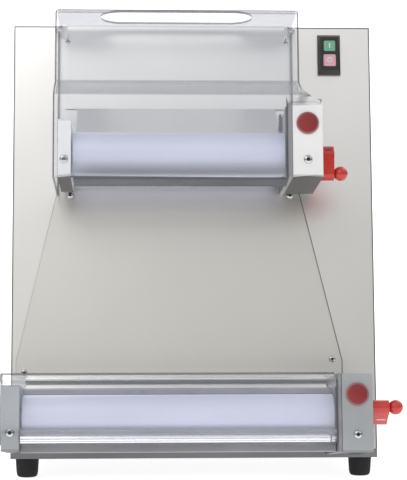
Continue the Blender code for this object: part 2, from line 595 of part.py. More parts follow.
def main():
    for old in list(bpy.data.objects):
        bpy.data.objects.remove(old, do_unlink=True)
    steel = material("stainless_steel", (0.72, 0.71, 0.68), 0.34, 1.0)
    cast = material("cast_aluminium", (0.80, 0.80, 0.79), 0.40, 1.0)
    shaft_steel = material("machined_steel", (0.45, 0.45, 0.46), 0.30, 1.0)
    plastic = material("roller_plastic", (0.78, 0.80, 0.90), 0.35)
    clear = material("clear_plastic", (0.80, 0.80, 0.84), 0.10)
    black = material("black_plastic", (0.02, 0.02, 0.02), 0.55)
    rubber = material("black_rubber", (0.015, 0.015, 0.015), 0.80)
    red = material("red_plastic", (0.45, 0.02, 0.02), 0.32)
    cap_red = material("cap_red", (0.20, 0.02, 0.03), 0.45)
    green = material("green_button", (0.12, 0.40, 0.26), 0.35)
    pink = material("red_button", (0.62, 0.20, 0.30), 0.35)

    panel = bpy.data.objects.new("panel_frame", None)
    bpy.context.scene.collection.objects.link(panel)
    panel.location = (0.0, PANEL_FOOT_Y * MM, BASE_Z * MM)
    panel.rotation_euler = (-LEAN, 0.0, 0.0)

    make_casing(panel, steel, rubber)
    make_plates(panel, steel)
    for stage in (UPPER, LOWER):
        make_rollers(stage, panel, plastic, shaft_steel, black)
        make_frames(stage, panel, cast, shaft_steel)
        make_cap(stage, panel, cap_red)
        make_lever(stage, panel, red)
    make_upper_guard(panel, clear, shaft_steel)
    make_lower_guard(panel, clear, shaft_steel)
    make_switch(panel, black, green, pink)
    make_drive(panel, shaft_steel, rubber, cast)


main()
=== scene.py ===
"""Looks of the two-stage dough sheeter: fine shapes, materials, light and camera around the CAD frame.

Lengths are millimetres unless a name says otherwise; the mesh builders write metres.
The sloping front panel has its own coordinates: x to the right, u in front of it, v up along it.
"""
import json
import math

import bmesh
import bpy
from mathutils import Matrix, Vector
from mathutils.bvhtree import BVHTree


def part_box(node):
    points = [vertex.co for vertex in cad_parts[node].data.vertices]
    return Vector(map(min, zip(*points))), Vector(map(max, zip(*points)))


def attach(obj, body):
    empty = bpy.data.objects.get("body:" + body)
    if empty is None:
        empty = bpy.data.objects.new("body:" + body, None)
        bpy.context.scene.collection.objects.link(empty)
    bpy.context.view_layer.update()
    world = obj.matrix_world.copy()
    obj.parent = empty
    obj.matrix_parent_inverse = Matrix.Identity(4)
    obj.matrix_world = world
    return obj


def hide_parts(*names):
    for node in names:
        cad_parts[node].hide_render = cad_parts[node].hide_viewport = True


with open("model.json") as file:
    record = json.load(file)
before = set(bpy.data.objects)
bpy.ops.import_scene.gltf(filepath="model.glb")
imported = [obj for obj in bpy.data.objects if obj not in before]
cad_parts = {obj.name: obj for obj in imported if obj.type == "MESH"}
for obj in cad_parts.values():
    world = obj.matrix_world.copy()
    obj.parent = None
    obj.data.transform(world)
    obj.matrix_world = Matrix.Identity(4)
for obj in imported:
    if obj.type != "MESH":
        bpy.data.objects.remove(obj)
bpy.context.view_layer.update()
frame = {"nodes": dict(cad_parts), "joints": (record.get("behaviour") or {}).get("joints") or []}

MM = 0.001
JOINTS = {joint["name"]: joint for joint in frame["joints"]}

# ---------------------------------------------------------------- the panel's own frame
INTO_PANEL = Vector(JOINTS["start_button_press"]["axis"])
LEAN = math.asin(-INTO_PANEL.z)
BASE_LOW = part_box("base_plate")[0].z / MM
PANEL_FOOT_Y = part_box("base_plate")[0].y / MM
PANEL = Matrix.Translation((0.0, PANEL_FOOT_Y * MM, BASE_LOW * MM)) @ Matrix.Rotation(-LEAN, 4, "X")
WORLD = Matrix.Identity(4)


def panel_uv(world):
    """(u, v) in millimetres of a world point in metres."""
    local = PANEL.inverted() @ Vector(world)
    return -local.y / MM, local.z / MM


def node_panel_box(node):
    """Lowest and highest (x, u, v) of a CAD node in the panel's frame, in millimetres."""
    inverse = PANEL.inverted()
    points = [inverse @ vertex.co for vertex in frame["nodes"][node].data.vertices]
    low = (min(p.x for p in points) / MM, min(-p.y for p in points) / MM, min(p.z for p in points) / MM)
    high = (max(p.x for p in points) / MM, max(-p.y for p in points) / MM, max(p.z for p in points) / MM)
    return low, high


# ---------------------------------------------------------------- material helpers
MIX_FACTOR, MIX_A, MIX_B, MIX_RESULT = 0, 6, 7, 2      # the colour sockets of a Mix node


class Shader:
    """A Principled material under construction."""

    def __init__(self, name, colour, roughness, metallic=0.0, **sockets):
        self.material = bpy.data.materials.new(name)
        self.material.use_nodes = True
        self.nodes = self.material.node_tree.nodes
        self.links = self.material.node_tree.links
        self.principled = self.nodes["Principled BSDF"]
        self.set("Base Color", (*colour, 1.0))
        self.set("Roughness", roughness)
        self.set("Metallic", metallic)
        for socket, value in sockets.items():
            self.set(socket.replace("_", " "), value)

    def set(self, socket, value):
        self.principled.inputs[socket].default_value = value

    def add(self, kind, **values):
        node = self.nodes.new(kind)
        for key, value in values.items():
            name = key.replace("_", " ")
            if name in node.inputs:
                node.inputs[name].default_value = value
            else:
                setattr(node, key, value)
        return node

    def noise(self, scale, detail, stretch=(1.0, 1.0, 1.0)):
        place = self.add("ShaderNodeTexCoord")
        mapping = self.add("ShaderNodeMapping")
        mapping.inputs["Scale"].default_value = stretch
        noise = self.add("ShaderNodeTexNoise", Scale=scale, Detail=detail, Roughness=0.55)
        self.links.new(place.outputs["Object"], mapping.inputs["Vector"])
        self.links.new(mapping.outputs["Vector"], noise.inputs["Vector"])
        return noise.outputs["Fac"]

    def ramp(self, source, low, high, start=0.3, end=0.7):
        """Maps a factor to a number between low and high."""
        node = self.add("ShaderNodeMapRange")
        node.inputs["From Min"].default_value = start
        node.inputs["From Max"].default_value = end
        node.inputs["To Min"].default_value = low
        node.inputs["To Max"].default_value = high
        self.links.new(source, node.inputs["Value"])
        return node.outputs["Result"]

    def colours(self, source, dark, light, start=0.3, end=0.7):
        node = self.add("ShaderNodeValToRGB")
        node.color_ramp.elements[0].position = start
        node.color_ramp.elements[1].position = end
        node.color_ramp.elements[0].color = (*dark, 1.0)
        node.color_ramp.elements[1].color = (*light, 1.0)
        self.links.new(source, node.inputs["Fac"])
        self.links.new(node.outputs["Color"], self.principled.inputs["Base Color"])

    def darken(self, mask, tint):
        """Multiplies the base colour by the tint where the mask is 1."""
        mix = self.add("ShaderNodeMix", data_type="RGBA", blend_type="MULTIPLY")
        base = self.principled.inputs["Base Color"]
        self.links.new(mask, mix.inputs[MIX_FACTOR])
        self.links.new(base.links[0].from_socket, mix.inputs[MIX_A])
        mix.inputs[MIX_B].default_value = (*tint, 1.0)
        self.links.new(mix.outputs[MIX_RESULT], base)

    def rim_shade_mask(self, half_width, top):
        """1 within RIM_WIDTH of the sheet's sides and top, in world coordinates: where the painted shade of
        the rolled edges goes.
        """
        place = self.add("ShaderNodeTexCoord")
        split = self.add("ShaderNodeSeparateXYZ")
        self.links.new(place.outputs["Object"], split.inputs["Vector"])
        side = self.add("ShaderNodeMath", operation="ABSOLUTE")
        self.links.new(split.outputs["X"], side.inputs[0])
        masks = [self.ramp(source, 0.0, 1.0, limit - RIM_WIDTH, limit - RIM_WIDTH * 0.4)
                 for source, limit in ((side.outputs["Value"], half_width), (split.outputs["Z"], top))]
        both = self.add("ShaderNodeMath", operation="MAXIMUM")
        self.links.new(masks[0], both.inputs[0])
        self.links.new(masks[1], both.inputs[1])
        return both.outputs["Value"]

    def underside_shade_mask(self):
        """1 on a face that looks down, 0 on one that stands or looks up: where painted shade goes."""
        geometry = self.add("ShaderNodeNewGeometry")
        split = self.add("ShaderNodeSeparateXYZ")
        self.links.new(geometry.outputs["Normal"], split.inputs["Vector"])
        return self.ramp(split.outputs["Z"], 1.0, 0.0, -0.9, -0.35)

    def rough(self, source, low, high):
        self.links.new(self.ramp(source, low, high), self.principled.inputs["Roughness"])

    def bump(self, source, strength, distance):
        node = self.add("ShaderNodeBump", Strength=strength, Distance=distance)
        self.links.new(source, node.inputs["Height"])
        self.links.new(node.outputs["Normal"], self.principled.inputs["Normal"])


def brushed_steel(name, light, dark, rough_low, rough_high, grain, rim=None):
    """Sheet steel with fine brushing lines along one direction and faint large patches.

    rim is the (half width, top) of a sheet, in metres, whose rolled outer edges get a band of painted shade.
    """
    shader = Shader(name, light, rough_low, 1.0)
    lines = shader.noise(1.0, 4.0, grain)
    patches = shader.noise(5.0, 2.0)
    shader.colours(patches, dark, light, 0.25, 0.75)
    if rim:
        # painted shade: the base colour darkens in a band along the sheet's sides and top
        shader.darken(shader.rim_shade_mask(*rim), RIM_SHADE_TINT)
    shader.rough(lines, rough_low, rough_high)
    shader.bump(lines, 0.05, 0.00001)
    return shader.material


def satin(name, dark, light, roughness, metallic, scale, depth, under=None, **sockets):
    """A solid finish with fine grain, such as blasted metal or moulded plastic.

    under is the tint of painted shade on a face that looks down.
    """
    shader = Shader(name, light, roughness, metallic, **sockets)
    grain = shader.noise(scale, 4.0)
    broad = shader.noise(14.0, 2.0)
    shader.colours(broad, dark, light)
    if under:
        # painted shade: faces that look down are darkened
        shader.darken(shader.underside_shade_mask(), under)
    shader.rough(grain, roughness * 0.85, min(roughness * 1.2, 1.0))
    shader.bump(grain, 0.25, depth)
    return shader.material


def clear_plastic(name, colour, alpha, roughness, specular=0.5):
    """Clear sheet: its alpha is a plain value, and faint haze lies in the roughness."""
    shader = Shader(name, colour, roughness, 0.0, Alpha=alpha, IOR=1.58)
    shader.set("Specular IOR Level", specular)
    haze = shader.noise(9.0, 3.0)
    shader.rough(haze, roughness * 0.6, roughness * 1.5)
    waves = shader.noise(3.5, 1.0)
    shader.bump(waves, 0.25, 0.0015)
    return shader.material


def turned_plastic(name):
    """White food plastic of the rollers, with faint turning marks along the axis."""
    shader = Shader(name, (0.62, 0.64, 0.78), 0.34)
    shader.set("Coat Weight", 0.15)
    marks = shader.noise(1.0, 3.0, (2200.0, 12.0, 12.0))
    clouds = shader.noise(7.0, 2.0)
    shader.colours(clouds, (0.58, 0.60, 0.75), (0.63, 0.65, 0.80))
    shader.rough(marks, 0.30, 0.40)
    shader.bump(marks, 0.05, 0.00005)
    return shader.material


RIM_WIDTH = 0.0023
# tint of the painted shade along a sheet's rolled edges
RIM_SHADE_TINT = (0.12, 0.12, 0.12)
# tint of the painted shade on faces that look down
UNDERSIDE_SHADE_TINT = (0.03, 0.03, 0.03)
PANEL_RIM = (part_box("front_panel")[1].x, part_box("front_panel")[1].z)

STEEL = brushed_steel("brushed_stainless", (0.86, 0.855, 0.84), (0.82, 0.81, 0.79), 0.31, 0.33,
                      (700.0, 6.0, 6.0), PANEL_RIM)
FEED_STEEL = brushed_steel("feed_plate_stainless", (0.84, 0.84, 0.83), (0.78, 0.78, 0.77), 0.30, 0.32,
                           (700.0, 6.0, 6.0))
# a darker copy of the front panel's stainless for the sides, top and back: painted shade
STEEL_SIDE_SHADED = brushed_steel("brushed_stainless_side", (0.46, 0.46, 0.455), (0.42, 0.42, 0.415), 0.30, 0.38,
                           (6.0, 6.0, 700.0))
# a near-black copy of the stainless for the base tray: painted shade low down by the floor
BASE_STEEL_SHADED = brushed_steel("base_stainless_painted_shade", (0.19, 0.19, 0.20), (0.15, 0.15, 0.16), 0.30, 0.38,
                           (6.0, 6.0, 700.0))
CHUTE_STEEL = brushed_steel("chute_stainless", (0.80, 0.785, 0.75), (0.76, 0.745, 0.71), 0.32, 0.34,
                            (500.0, 6.0, 6.0))
PLATE_STEEL = brushed_steel("machined_plate", (0.40, 0.40, 0.42), (0.30, 0.30, 0.32), 0.30, 0.44,
                            (30.0, 700.0, 30.0))
UPPER_WHITE = satin("bright_aluminium", (0.80, 0.80, 0.80), (0.86, 0.86, 0.86), 0.42, 0.35, 900.0, 0.00005,
                    under=UNDERSIDE_SHADE_TINT)
# the same aluminium as the upper blocks, in a darker copy: painted shade for the lower stage lying further
# from the light
LOWER_ALUMINIUM_SHADED = satin("aluminium_painted_shade", (0.34, 0.36, 0.37), (0.40, 0.42, 0.43), 0.42, 0.45, 900.0, 0.00005,
                   under=UNDERSIDE_SHADE_TINT)
CAST_GREY = satin("cast_grey", (0.30, 0.31, 0.32), (0.40, 0.41, 0.42), 0.55, 0.8, 500.0, 0.0002)
ROLLER_WHITE = turned_plastic("roller_white")
CLEAR = clear_plastic("clear_guard", (0.78, 0.81, 0.90), 0.10, 0.06)
# darker, more opaque copies of the one clear plastic: painted shade on the guards' bends, roof and edges
CLEAR_BEND_SHADED = clear_plastic("clear_guard_bend_painted_shade", (0.30, 0.31, 0.34), 0.40, 0.10)
CLEAR_ROOF_SHADED = clear_plastic("clear_guard_roof_painted_shade", (0.16, 0.18, 0.26), 0.36, 0.15, 0.1)
CLEAR_EDGE_SHADED = clear_plastic("clear_guard_edge_painted_shade", (0.10, 0.105, 0.115), 0.80, 0.25, 0.05)
BLACK = satin("black_moulding", (0.008, 0.008, 0.009), (0.018, 0.018, 0.020), 0.38, 0.0, 1200.0, 0.0001)
RUBBER = satin("black_rubber", (0.004, 0.004, 0.005), (0.009, 0.009, 0.010), 0.80, 0.0, 700.0, 0.0002)
RED = satin("red_gloss", (0.42, 0.020, 0.012), (0.52, 0.028, 0.018), 0.30, 0.0, 300.0, 0.00002,
            Coat_Weight=0.3)
CAP_RED = satin("cap_red", (0.19, 0.012, 0.014), (0.25, 0.020, 0.022), 0.40, 0.0, 500.0, 0.0001)
CAP_RIM = satin("cap_rim", (0.24, 0.09, 0.09), (0.32, 0.13, 0.13), 0.34, 0.0, 500.0, 0.0001)
GREEN = satin("green_lens", (0.10, 0.30, 0.19), (0.15, 0.38, 0.25), 0.30, 0.0, 200.0, 0.00005,
              Coat_Weight=0.3)
PINK = satin("red_lens", (0.58, 0.27, 0.34), (0.68, 0.37, 0.44), 0.30, 0.0, 200.0, 0.00005, Coat_Weight=0.3)
MARK = satin("button_mark", (0.60, 0.62, 0.60), (0.70, 0.72, 0.70), 0.40, 0.0, 200.0, 0.00005)
SCREW = satin("bright_screw", (0.42, 0.42, 0.43), (0.58, 0.58, 0.59), 0.24, 1.0, 600.0, 0.00005)
# painted shade in the recess of a screw's hexagon socket
SOCKET_DARK = satin("screw_socket_painted_shade", (0.03, 0.03, 0.03), (0.06, 0.06, 0.06), 0.50, 0.6, 600.0, 0.00005)
GEAR_STEEL = satin("gear_steel", (0.32, 0.32, 0.33), (0.45, 0.45, 0.46), 0.34, 1.0, 700.0, 0.0001)
DARK_METAL = satin("oiled_metal", (0.05, 0.05, 0.055), (0.10, 0.10, 0.11), 0.40, 0.9, 700.0, 0.0001)
POLISHED = satin("polished_rod", (0.78, 0.79, 0.80), (0.86, 0.87, 0.88), 0.20, 1.0, 600.0, 0.00002)
RAIL_GREY = satin("grey_rail", (0.26, 0.26, 0.29), (0.34, 0.34, 0.37), 0.38, 0.8, 600.0, 0.00005)
# two copies of one steel for the chute's hems: the dark one painted shadow, the light one painted light
HEM_PAINTED_SHADE = satin("hemmed_edge", (0.16, 0.16, 0.155), (0.22, 0.22, 0.21), 0.40, 0.9, 700.0, 0.00005)
HEM_PAINTED_LIGHT = satin("bright_hemmed_edge", (0.66, 0.65, 0.62), (0.74, 0.73, 0.70), 0.40, 0.9, 700.0, 0.00005)
BELT = satin("belt_rubber", (0.012, 0.012, 0.012), (0.030, 0.030, 0.030), 0.80, 0.0, 900.0, 0.0002)
ENAMEL = satin("motor_enamel", (0.05, 0.06, 0.08), (0.08, 0.09, 0.11), 0.45, 0.1, 400.0, 0.0002)


# ---------------------------------------------------------------- mesh helpers
SHARP_ANGLE = 32.0
FORWARD = Matrix.Rotation(-math.pi / 2, 4, "Z")     # turns a piece's X axis to point forward
UPWARD = Matrix.Rotation(-math.pi / 2, 4, "Y")
BACKWARD = Matrix.Rotation(math.pi / 2, 4, "Z")


def arc(centre, radius, start, end, steps):
    """Points on an arc, in degrees, ends included."""
    points = []
    for step in range(steps + 1):
        angle = math.radians(start + (end - start) * step / steps)
        points.append((centre[0] + radius * math.cos(angle), centre[1] + radius * math.sin(angle)))
    return points


def rounded_path(points, radii, steps=6):
    """A polyline whose inner corners are replaced by arcs of the given radii."""
    path = [points[0]]
    for index in range(1, len(points) - 1):
        before = Vector(points[index - 1])
        corner = Vector(points[index])
        after = Vector(points[index + 1])
        to_before = (before - corner).normalized()
        to_after = (after - corner).normalized()
        half = to_before.angle(to_after) / 2
        reach = radii[index - 1] / math.tan(half)
        centre = corner + (to_before + to_after).normalized() * radii[index - 1] / math.sin(half)
        first = corner + to_before * reach - centre
        last = corner + to_after * reach - centre
        start = math.atan2(first.y, first.x)
        sweep = math.atan2(last.y, last.x) - start
        turn = math.atan2(math.sin(sweep), math.cos(sweep))
        for step in range(steps + 1):
            angle = start + turn * step / steps
            path.append((centre.x + first.length * math.cos(angle),
                         centre.y + first.length * math.sin(angle)))
    path.append(points[-1])
    return path


def strip(path, thickness):
    """Outline of a bent sheet whose middle line is the path."""
    half = thickness / 2
    left, right = [], []
    last = len(path) - 1
    for index, (a, b) in enumerate(path):
        before = path[max(index - 1, 0)]
        after = path[min(index + 1, last)]
        first = math.atan2(b - before[1], a - before[0]) if index > 0 else None
        second = math.atan2(after[1] - b, after[0] - a) if index < last else first
        first = second if first is None else first
        turn = math.atan2(math.sin(second - first), math.cos(second - first)) / 2
        normal = first + turn + math.pi / 2
        reach = half / math.cos(turn)
        left.append((a + reach * math.cos(normal), b + reach * math.sin(normal)))
        right.append((a - reach * math.cos(normal), b - reach * math.sin(normal)))
    return left + right[::-1]


def bridge(bm, first, second):
    for index in range(len(first)):
        after = (index + 1) % len(first)
        bm.faces.new((first[index], first[after], second[after], second[index]))


def prism(outline, axis, low, high):
    """Extrudes an outline: (u, v) along X, (x, v) along U, or (x, u) along V."""
    place = {
        "X": lambda a, b, c: (c, -a, b),
        "U": lambda a, b, c: (a, -c, b),
        "V": lambda a, b, c: (a, -b, c),
    }[axis]
    bm = bmesh.new()
    rings = [[bm.verts.new(place(a, b, c)) for a, b in outline] for c in (low, high)]
    bridge(bm, rings[0], rings[1])
    bm.faces.new(rings[0])
    bm.faces.new(rings[1])
    return bm


def turned(profile, segments):
    """Turns (x, radius) points about the X axis and closes both ends with flat caps."""
    bm = bmesh.new()
    rings = []
    for x, radius in profile:
        ring = []
        for step in range(segments):
            angle = 2 * math.pi * step / segments
            ring.append(bm.verts.new((x, radius * math.cos(angle), radius * math.sin(angle))))
        rings.append(ring)
    for first, second in zip(rings, rings[1:]):
        bridge(bm, first, second)
    bm.faces.new(rings[0])
    bm.faces.new(rings[-1])
    return bm


def loose(name, bm, material, matrix):
    """An object at the given place, from a working mesh in millimetres."""
    bmesh.ops.scale(bm, vec=(MM, MM, MM), verts=bm.verts)
    bmesh.ops.recalc_face_normals(bm, faces=bm.faces)
    mesh = bpy.data.meshes.new(name)
    bm.to_mesh(mesh)
    bm.free()
    mesh.materials.append(material)
    made = bpy.data.objects.new(name, mesh)
    bpy.context.scene.collection.objects.link(made)
    made.matrix_world = matrix
    return made


def solid(bm, material, base=PANEL, place=(0.0, 0.0, 0.0)):
    """A loose solid for boolean work."""
    return loose("solid", bm, material, base @ Matrix.Translation([part * MM for part in place]))


def smooth(made, angle):
    """Smooth shading, with the edges sharp where faces meet at more than the angle in degrees."""
    made.data.shade_smooth()
    made.data.set_sharp_from_angle(angle=math.radians(angle))


def adopt(made, name, body, slot, replaces, angle=SHARP_ANGLE):
    """Names a finished loose solid, shades it and lets it ride on its body."""
    made.name = name
    made.data.name = name
    smooth(made, angle)
    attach(made, body)
    if replaces:
        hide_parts(*replaces)
    return made


def build(name, bm, material, body, slot, base=PANEL, place=(0.0, 0.0, 0.0), turn=WORLD, bevel=0.0,
          replaces=()):
    """Makes a piece of a working mesh, places it and lets it ride on its body."""
    made = loose(name, bm, material, base @ Matrix.Translation([part * MM for part in place]) @ turn)
    if bevel:
        add_bevel(made, bevel)
    return adopt(made, name, body, slot, replaces)


def add_bevel(made, width, segments=3):
    step = made.modifiers.new("edge_round", "BEVEL")
    step.width = width * MM
    step.segments = segments
    step.limit_method = "ANGLE"
    step.angle_limit = math.radians(35)
    step.harden_normals = False


def boolean(target, other, operation):
    """Applies a boolean of another loose solid to the target and removes that solid."""
    step = target.modifiers.new("step", "BOOLEAN")
    step.operation = operation
    step.solver = "EXACT"
    step.object = other
    bpy.context.view_layer.update()
    graph = bpy.context.evaluated_depsgraph_get()
    result = bpy.data.meshes.new_from_object(target.evaluated_get(graph), depsgraph=graph)
    target.modifiers.remove(step)
    target.data = result
    bpy.data.objects.remove(other)
    return target


def split_at(made, axis, values):
    """Cuts the faces of a solid along planes x or v = value of the panel's frame."""
    normal = {"x": (1.0, 0.0, 0.0), "v": (0.0, 0.0, 1.0)}[axis]
    bm = bmesh.new()
    bm.from_mesh(made.data)
    for value in values:
        everything = list(bm.verts) + list(bm.edges) + list(bm.faces)
        bmesh.ops.bisect_plane(bm, geom=everything, plane_co=Vector(normal) * value * MM, plane_no=normal,
                               dist=1e-7)
    bm.to_mesh(made.data)
    bm.free()


# the EDGE, BEND and ROOF slots hold the painted-shade copies of the clear plastic
FACE, EDGE, BEND, ROOF = range(4)      # the material slots of a clear guard
THICKEST_SHEET = 5.5


def mark_sheet(made, mark):
    """Gives each face of a clear guard its material; the darker copies are painted shade.

    A cut edge is told by how deep the plastic behind the face is; for any other face
    mark(x, u, v, normal) says which material it gets.
    """
    for material in (CLEAR_EDGE_SHADED, CLEAR_BEND_SHADED, CLEAR_ROOF_SHADED):
        made.data.materials.append(material)
    tree_mesh = bmesh.new()
    tree_mesh.from_mesh(made.data)
    bmesh.ops.triangulate(tree_mesh, faces=tree_mesh.faces)
    tree = BVHTree.FromBMesh(tree_mesh)
    for face in tree_mesh.faces:
        centre = face.calc_center_median()
        hit = tree.ray_cast(centre - face.normal * 0.00005, -face.normal, 1.0)
        distance = hit[3] if hit[3] is not None else 1.0
        x, u, v = centre.x / MM, -centre.y / MM, centre.z / MM
        face.material_index = EDGE if distance > THICKEST_SHEET * MM else mark(x, u, v, face.normal)
    tree_mesh.to_mesh(made.data)
    tree_mesh.free()


class Stage:
    """One pair of rollers: its axes and the spans of its parts, read from the frame."""

    def __init__(self, name):
        self.name = name
        self.front_u, self.axis_v = panel_uv(JOINTS[f"{name}_front_roller_spin"]["pos_m"])
        self.rear_u = panel_uv(JOINTS[f"{name}_rear_roller_spin"]["pos_m"])[0]
        self.block = node_panel_box(f"{name}_left_block")
        self.cover = node_panel_box(f"{name}_gear_cover")
        self.cap = node_panel_box(f"{name}_red_cap")
        self.plate = node_panel_box(f"{name}_inner_plate")
        self.lever = node_panel_box(f"{name}_lever")
        self.plunger = node_panel_box(f"{name}_plunger")


UPPER = Stage("upper")
LOWER = Stage("lower")
ROLLER_RADIUS = 29.0
SHAFT_RADIUS = 6.0
JOURNAL = 11.0
LOWER_HINGE = panel_uv(JOINTS["lower_guard_tilt"]["pos_m"])
ROD_RADIUS = 5.5
CHUTE_FRONT_U = 2.5
CHUTE_TOP_X = (-189.0, 147.0)
CHUTE_KNEE_V = 132.3
HEM = 1.2


# ---------------------------------------------------------------- rollers
def make_rollers(stage):
    for which, u, body in (("front", stage.front_u, f"{stage.name}_front_roller_group"),
                           ("rear", stage.rear_u, f"{stage.name}_rear_roller_group")):
        node = f"{stage.name}_{which}_roller"
        low, high = node_panel_box(node)
        left = low[0] + JOURNAL
        right = stage.plate[0][0] - 2.4
        corner = 1.6
        sleeve = [(left + 0.6, 9.0), (left + 0.6, 24.0), (left, 24.8)]
        sleeve += [(left + corner - corner * math.cos(math.radians(a)),
                    ROLLER_RADIUS - corner + corner * math.sin(math.radians(a))) for a in range(0, 91, 18)]
        sleeve += [(right - corner + corner * math.sin(math.radians(a)),
                    ROLLER_RADIUS - corner + corner * math.cos(math.radians(a))) for a in range(0, 91, 18)]
        sleeve += [(right, 24.8), (right - 0.6, 24.0), (right - 0.6, 9.0)]
        axis = (0.0, -u, stage.axis_v)
        build(f"{node}_sleeve", turned(sleeve, 96), ROLLER_WHITE, body, "roller_plastic", place=axis,
              replaces=(node,))
        shaft = [(low[0], SHAFT_RADIUS - 0.8), (low[0] + 0.8, SHAFT_RADIUS), (left - 0.2, SHAFT_RADIUS),
                 (left - 0.2, 8.5), (right + 0.2, 8.5), (right + 0.2, SHAFT_RADIUS),
                 (high[0] - 0.8, SHAFT_RADIUS), (high[0], SHAFT_RADIUS - 0.8)]
        build(f"{node}_shaft", turned(shaft, 40), GEAR_STEEL, body, "machined_steel", place=axis)


# ---------------------------------------------------------------- clear guards
CLEAR_SHEET = 3.0
SIDE_CORNER = 7.0
FRONT_BEND = 8.0
# painted shade: a band this wide at a wall seen end on, and at the bend between the roof and front, gets the
# dark edge plastic
WALL_SEEN = 2.2                # a wall seen end on shows as a dark line this wide
TOP_LINE = 3.0                 # and so does the bend between the hood's roof and front
HOOD_FOLD_X = -161.0           # where the fold along the hood's lower edge begins
HOOD_SLOT_X = (-98.0, 50.0)    # the centres of the feed slot's round ends
HOOD_SLOT_U = 59.0
HOOD_SLOT_RADIUS = 30.0
HOOD_RIGHT = 140.0
HOOD_U = 100.0
ROOF_REAR_U = 12.0             # the roof stops here, so that it clears the hinge ears when lifted
LEDGE_V = (500.7, 473.7)
COVER_TOP_V = 461.4
GUARD_FLOOR_V = 360.0
FLARE = (163.5, 488.5)
FLARE_RADIUS = 23.5


def guard_shell(low_x, high_x, profile, front, material):
    """A solid that is inside both the side profile (u, v) and the front outline (x, v)."""
    body = solid(prism(profile, "X", low_x, high_x), material)
    return boolean(body, solid(prism(front, "U", -60.0, 260.0), material), "INTERSECT")


def make_upper_guard():
    low, high = node_panel_box("upper_guard")
    left, top, front_u = low[0], high[2], high[1]
    right = UPPER.plate[0][0] - 0.5
    sheet = CLEAR_SHEET

    def side_profile(inset, rear, floor):
        drop = inset * 0.64
        hood_u, cover_u = HOOD_U - inset, front_u - inset
        path = [(rear, floor), (rear, top - inset), (hood_u, top - inset), (hood_u, LEDGE_V[0] - drop),
                (cover_u, LEDGE_V[1] - drop), (cover_u, floor)]
        return rounded_path(path, [0.01, FRONT_BEND - inset, 5.0 + inset, max(5.0 - inset, 1.5)], 6)

    def front_outline(inset, floor):
        corner = SIDE_CORNER - inset
        outline = [(left + inset, floor)]
        outline += arc((left + SIDE_CORNER, top - SIDE_CORNER), corner, 180, 90, 8)
        outline += arc((HOOD_RIGHT - SIDE_CORNER, top - SIDE_CORNER), corner, 90, 0, 8)
        outline += arc(FLARE, FLARE_RADIUS + inset, 180, 270, 12)
        if inset:
            outline += [(FLARE[0] + 8.0, FLARE[1] - FLARE_RADIUS - inset), (FLARE[0] + 8.0, 455.0)]
            outline += [(right - inset, 455.0), (right - inset, floor)]
        else:
            outline += [(FLARE[0], FLARE[1] - FLARE_RADIUS - sheet + 0.05), (right, COVER_TOP_V),
                        (right, floor)]
        return outline

    guard = guard_shell(left - 5.0, FLARE[0] + 5.0, side_profile(0.0, 8.0, GUARD_FLOOR_V),
                        front_outline(0.0, GUARD_FLOOR_V - 5.0), CLEAR)
    inner = guard_shell(left - 10.0, FLARE[0] + 20.0, side_profile(sheet, -40.0, GUARD_FLOOR_V - 30.0),
                        front_outline(sheet, GUARD_FLOOR_V - 40.0), CLEAR)
    boolean(guard, inner, "DIFFERENCE")
    trim = prism([(-20.0, 340.0), (142.5, 340.0), (142.5, COVER_TOP_V), (-20.0, COVER_TOP_V)], "X",
                 100.0, right + 60.0)
    boolean(guard, solid(trim, CLEAR), "DIFFERENCE")
    heel = prism([(-20.0, 340.0), (12.0, 340.0), (12.0, 378.0), (-20.0, 400.0)], "X", left - 5.0, left + 5.0)
    boolean(guard, solid(heel, CLEAR), "DIFFERENCE")
    middle = front_u - sheet / 2
    fold = rounded_path([(middle, 366.0), (middle, 360.0), (118.0, 356.5)], [3.0], 5)
    boolean(guard, solid(prism(strip(fold, sheet), "X", HOOD_FOLD_X, right), CLEAR), "UNION")
    rear = [(-10.0, top - 5.0), (ROOF_REAR_U, top - 5.0), (ROOF_REAR_U, top + 5.0), (-10.0, top + 5.0)]
    rear_gap = solid(prism(rear, "X", left + SIDE_CORNER, HOOD_RIGHT - SIDE_CORNER), CLEAR)
    boolean(guard, rear_gap, "DIFFERENCE")
    slot = [point for x, start in zip(HOOD_SLOT_X, (90, -90))
            for point in arc((x, HOOD_SLOT_U), HOOD_SLOT_RADIUS, start, start + 180, 24)]
    boolean(guard, solid(prism(slot, "V", 585.0, 615.0), CLEAR), "DIFFERENCE")
    split_at(guard, "x", (left + WALL_SEEN, HOOD_RIGHT - WALL_SEEN, right - WALL_SEEN))
    split_at(guard, "v", (top - TOP_LINE, LEDGE_V[0] + 2.0, LEDGE_V[0] + 4.0, LEDGE_V[1] - 5.0,
                          LEDGE_V[1] - 3.0))

    def mark(x, u, v, normal):
        facing = -normal.y > 0.5
        on_left_wall = x < left + WALL_SEEN
        on_right_wall = HOOD_RIGHT - WALL_SEEN < x < HOOD_RIGHT + 0.1 and v > LEDGE_V[0]
        low_right_wall = x > right - WALL_SEEN and v < COVER_TOP_V
        top_bend = v > top - TOP_LINE and u > HOOD_U - FRONT_BEND and normal.z > 0.1
        if top_bend or facing and (on_left_wall or on_right_wall or low_right_wall):
            return EDGE
        # painted shade: the roof and its bends get a darker copy, which also hides the bend's highlight
        if v > top - SIDE_CORNER and abs(normal.z) > 0.25:
            return ROOF
        # painted shade: the ledge's bends get a darker copy
        if LEDGE_V[1] - 3.0 < v < LEDGE_V[0] + 2.0 and abs(normal.z) > 0.2:
            return BEND
        # painted shade: the fold below the roller gets the dark edge plastic
        return EDGE if v < GUARD_FLOOR_V + 1.5 else FACE

    mark_sheet(guard, mark)
    adopt(guard, "upper_guard_sheet", "upper_guard_panel", "clear_plastic", ("upper_guard",), angle=28.0)


